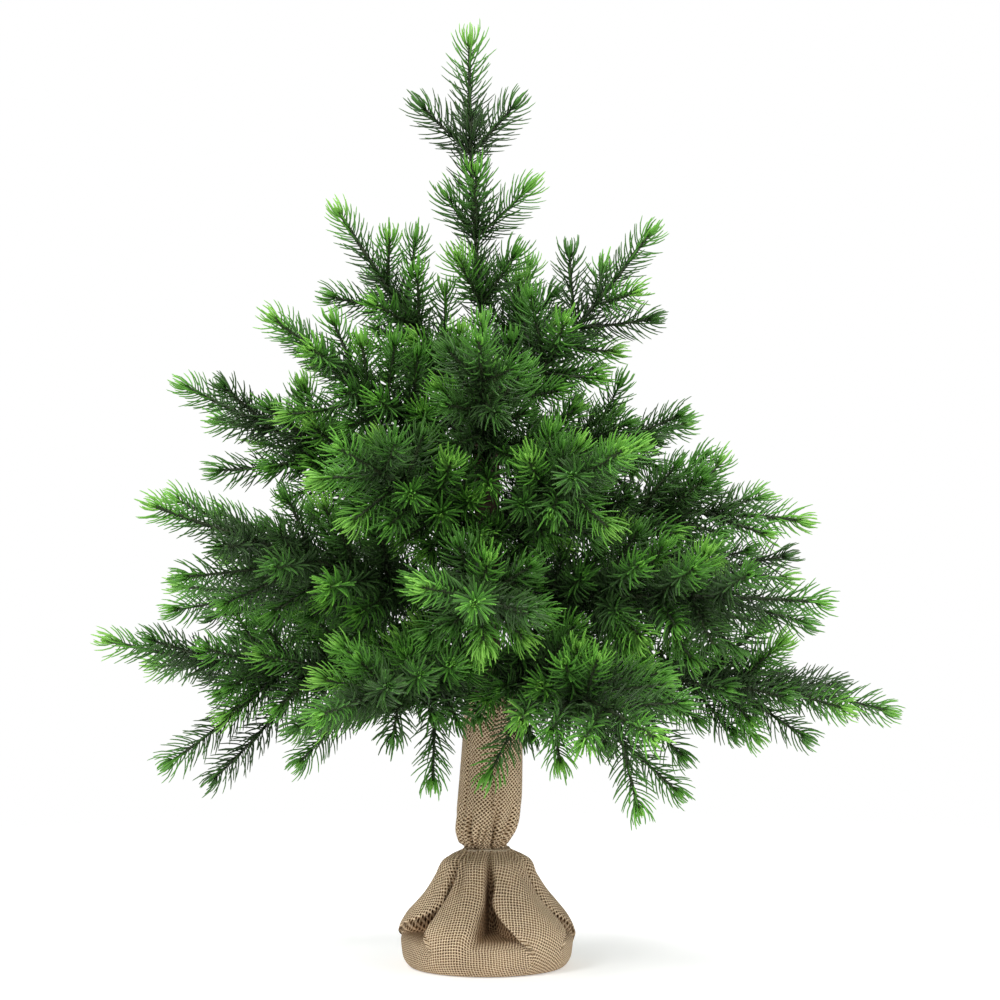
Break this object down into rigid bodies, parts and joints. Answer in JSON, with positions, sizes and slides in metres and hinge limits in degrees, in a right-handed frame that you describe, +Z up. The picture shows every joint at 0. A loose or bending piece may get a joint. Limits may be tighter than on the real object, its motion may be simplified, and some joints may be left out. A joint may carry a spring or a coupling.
{
  "type": "artificial tabletop tree",
  "caption": "Artificial spruce for a tabletop: bendable needled branches on a taped steel trunk, on a round weighted base wrapped in tied burlap.",
  "frame": {"origin": "centre of the flat underside of the foot pad, on the surface that the tree stands on", "axes": "+Z up the trunk, -Y towards the front of the picture, +X to the right of the picture"},
  "size_m": [0.517, 0.41, 0.6048],
  "materials": {
    "felt": "matte",
    "cup_plastic": "matte",
    "cement": "matte",
    "burlap": "matte",
    "tie_line": "matte",
    "steel": "satin",
    "trunk_tape": "matte",
    "stem_wire": "matte",
    "needles": "satin"
  },
  "bodies": {
    "base": {"foot_pad": "felt", "weight_cup": "cup_plastic", "cast_weight": "cement", "burlap_wrap": "burlap", "neck_tie": "tie_line", "trunk_rod": "steel", "trunk_wrap": "trunk_tape"},
    "branch_01": {"branch_01_wire": "stem_wire", "branch_01_sprigs": "needles"},
    "branch_02": {"branch_02_wire": "stem_wire", "branch_02_sprigs": "needles"},
    "branch_03": {"branch_03_wire": "stem_wire", "branch_03_sprigs": "needles"},
    "branch_04": {"branch_04_wire": "stem_wire", "branch_04_sprigs": "needles"},
    "branch_05": {"branch_05_wire": "stem_wire", "branch_05_sprigs": "needles"},
    "branch_06": {"branch_06_wire": "stem_wire", "branch_06_sprigs": "needles"},
    "branch_07": {"branch_07_wire": "stem_wire", "branch_07_sprigs": "needles"},
    "branch_08": {"branch_08_wire": "stem_wire", "branch_08_sprigs": "needles"},
    "branch_09": {"branch_09_wire": "stem_wire", "branch_09_sprigs": "needles"},
    "branch_10": {"branch_10_wire": "stem_wire", "branch_10_sprigs": "needles"},
    "branch_11": {"branch_11_wire": "stem_wire", "branch_11_sprigs": "needles"},
    "branch_12": {"branch_12_wire": "stem_wire", "branch_12_sprigs": "needles"},
    "branch_13": {"branch_13_wire": "stem_wire", "branch_13_sprigs": "needles"},
    "branch_14": {"branch_14_wire": "stem_wire", "branch_14_sprigs": "needles"},
    "branch_15": {"branch_15_wire": "stem_wire", "branch_15_sprigs": "needles"},
    "branch_16": {"branch_16_wire": "stem_wire", "branch_16_sprigs": "needles"},
    "branch_17": {"branch_17_wire": "stem_wire", "branch_17_sprigs": "needles"},
    "branch_18": {"branch_18_wire": "stem_wire", "branch_18_sprigs": "needles"},
    "branch_19": {"branch_19_wire": "stem_wire", "branch_19_sprigs": "needles"},
    "branch_20": {"branch_20_wire": "stem_wire", "branch_20_sprigs": "needles"},
    "branch_21": {"branch_21_wire": "stem_wire", "branch_21_sprigs": "needles"},
    "branch_22": {"branch_22_wire": "stem_wire", "branch_22_sprigs": "needles"},
    "branch_23": {"branch_23_wire": "stem_wire", "branch_23_sprigs": "needles"},
    "branch_24": {"branch_24_wire": "stem_wire", "branch_24_sprigs": "needles"},
    "branch_25": {"branch_25_wire": "stem_wire", "branch_25_sprigs": "needles"},
    "leader": {"leader_wire": "stem_wire", "leader_sprigs": "needles"}
  },
  "joints": [
    {"name": "branch_01_bend", "type": "hinge", "parent": "base", "child": "branch_01", "pos_m": [0.01078, -0.00056, 0.189], "axis": [-0.0523, -0.9986, 0], "range_deg": [-30, 10]},
    {"name": "branch_02_bend", "type": "hinge", "parent": "base", "child": "branch_02", "pos_m": [0.0054, 0.00935, 0.185], "axis": [0.866, -0.5, 0], "range_deg": [-30, 18]},
    {"name": "branch_03_bend", "type": "hinge", "parent": "base", "child": "branch_03", "pos_m": [-0.00556, 0.00926, 0.188], "axis": [0.8572, 0.515, 0], "range_deg": [-30, 16]},
    {"name": "branch_04_bend", "type": "hinge", "parent": "base", "child": "branch_04", "pos_m": [-0.01078, -0.00056, 0.191], "axis": [-0.0523, 0.9986, 0], "range_deg": [-30, 8]},
    {"name": "branch_05_bend", "type": "hinge", "parent": "base", "child": "branch_05", "pos_m": [-0.00507, -0.00954, 0.184], "axis": [-0.8829, 0.4695, 0], "range_deg": [-30, 16]},
    {"name": "branch_06_bend", "type": "hinge", "parent": "base", "child": "branch_06", "pos_m": [0.00524, -0.00945, 0.187], "axis": [-0.8746, -0.4848, 0], "range_deg": [-30, 22]},
    {"name": "branch_07_bend", "type": "hinge", "parent": "base", "child": "branch_07", "pos_m": [0.00954, 0.00507, 0.237], "axis": [0.4695, -0.8829, 0], "range_deg": [-20, 10]},
    {"name": "branch_08_bend", "type": "hinge", "parent": "base", "child": "branch_08", "pos_m": [-0.00019, 0.0108, 0.233], "axis": [0.9998, 0.0175, 0], "range_deg": [-20, 22]},
    {"name": "branch_09_bend", "type": "hinge", "parent": "base", "child": "branch_09", "pos_m": [-0.00935, 0.0054, 0.237], "axis": [0.5, 0.866, 0], "range_deg": [-10, 16]},
    {"name": "branch_10_bend", "type": "hinge", "parent": "base", "child": "branch_10", "pos_m": [-0.00926, -0.00556, 0.233], "axis": [-0.515, 0.8572, 0], "range_deg": [-20, 16]},
    {"name": "branch_11_bend", "type": "hinge", "parent": "base", "child": "branch_11", "pos_m": [-0.00038, -0.01079, 0.236], "axis": [-0.9994, 0.0349, 0], "range_deg": [-14, 22]},
    {"name": "branch_12_bend", "type": "hinge", "parent": "base", "child": "branch_12", "pos_m": [0.00926, -0.00556, 0.234], "axis": [-0.515, -0.8572, 0], "range_deg": [-10, 16]},
    {"name": "branch_13_bend", "type": "hinge", "parent": "base", "child": "branch_13", "pos_m": [0.01079, -0.00038, 0.282], "axis": [-0.0349, -0.9994, 0], "range_deg": [-10, 16]},
    {"name": "branch_14_bend", "type": "hinge", "parent": "base", "child": "branch_14", "pos_m": [0.0054, 0.00935, 0.284], "axis": [0.866, -0.5, 0], "range_deg": [-24, 8]},
    {"name": "branch_15_bend", "type": "hinge", "parent": "base", "child": "branch_15", "pos_m": [-0.00604, 0.00895, 0.286], "axis": [0.829, 0.5592, 0], "range_deg": [-20, 16]},
    {"name": "branch_16_bend", "type": "hinge", "parent": "base", "child": "branch_16", "pos_m": [-0.0108, -0.00019, 0.288], "axis": [-0.0175, 0.9998, 0], "range_deg": [-24, 14]},
    {"name": "branch_17_bend", "type": "hinge", "parent": "base", "child": "branch_17", "pos_m": [-0.00572, -0.00916, 0.284], "axis": [-0.848, 0.5299, 0], "range_deg": [-20, 10]},
    {"name": "branch_18_bend", "type": "hinge", "parent": "base", "child": "branch_18", "pos_m": [0.0054, -0.00935, 0.286], "axis": [-0.866, -0.5, 0], "range_deg": [-20, 18]},
    {"name": "branch_19_bend", "type": "hinge", "parent": "base", "child": "branch_19", "pos_m": [0.00954, 0.00507, 0.324], "axis": [0.4695, -0.8829, 0], "range_deg": [-8, 18]},
    {"name": "branch_20_bend", "type": "hinge", "parent": "base", "child": "branch_20", "pos_m": [-0.00261, 0.01048, 0.328], "axis": [0.9703, 0.2419, 0], "range_deg": [-20, 18]},
    {"name": "branch_21_bend", "type": "hinge", "parent": "base", "child": "branch_21", "pos_m": [-0.00945, -0.00524, 0.326], "axis": [-0.4848, 0.8746, 0], "range_deg": [-12, 16]},
    {"name": "branch_22_bend", "type": "hinge", "parent": "base", "child": "branch_22", "pos_m": [-0.00038, -0.01079, 0.322], "axis": [-0.9994, 0.0349, 0], "range_deg": [-30, 20]},
    {"name": "branch_23_bend", "type": "hinge", "parent": "base", "child": "branch_23", "pos_m": [0.01076, -0.00094, 0.356], "axis": [-0.0872, -0.9962, 0], "range_deg": [-30, 16]},
    {"name": "branch_24_bend", "type": "hinge", "parent": "base", "child": "branch_24", "pos_m": [0.00439, 0.00987, 0.362], "axis": [0.9135, -0.4067, 0], "range_deg": [-30, 18]},
    {"name": "branch_25_bend", "type": "hinge", "parent": "base", "child": "branch_25", "pos_m": [-0.0108, 0, 0.366], "axis": [0, 1, 0], "range_deg": [-20, 6]},
    {"name": "leader_bend", "type": "hinge", "parent": "base", "child": "leader", "pos_m": [0, 0, 0.3933], "axis": [1, 0, 0], "range_deg": [-16, 24]}
  ]
}
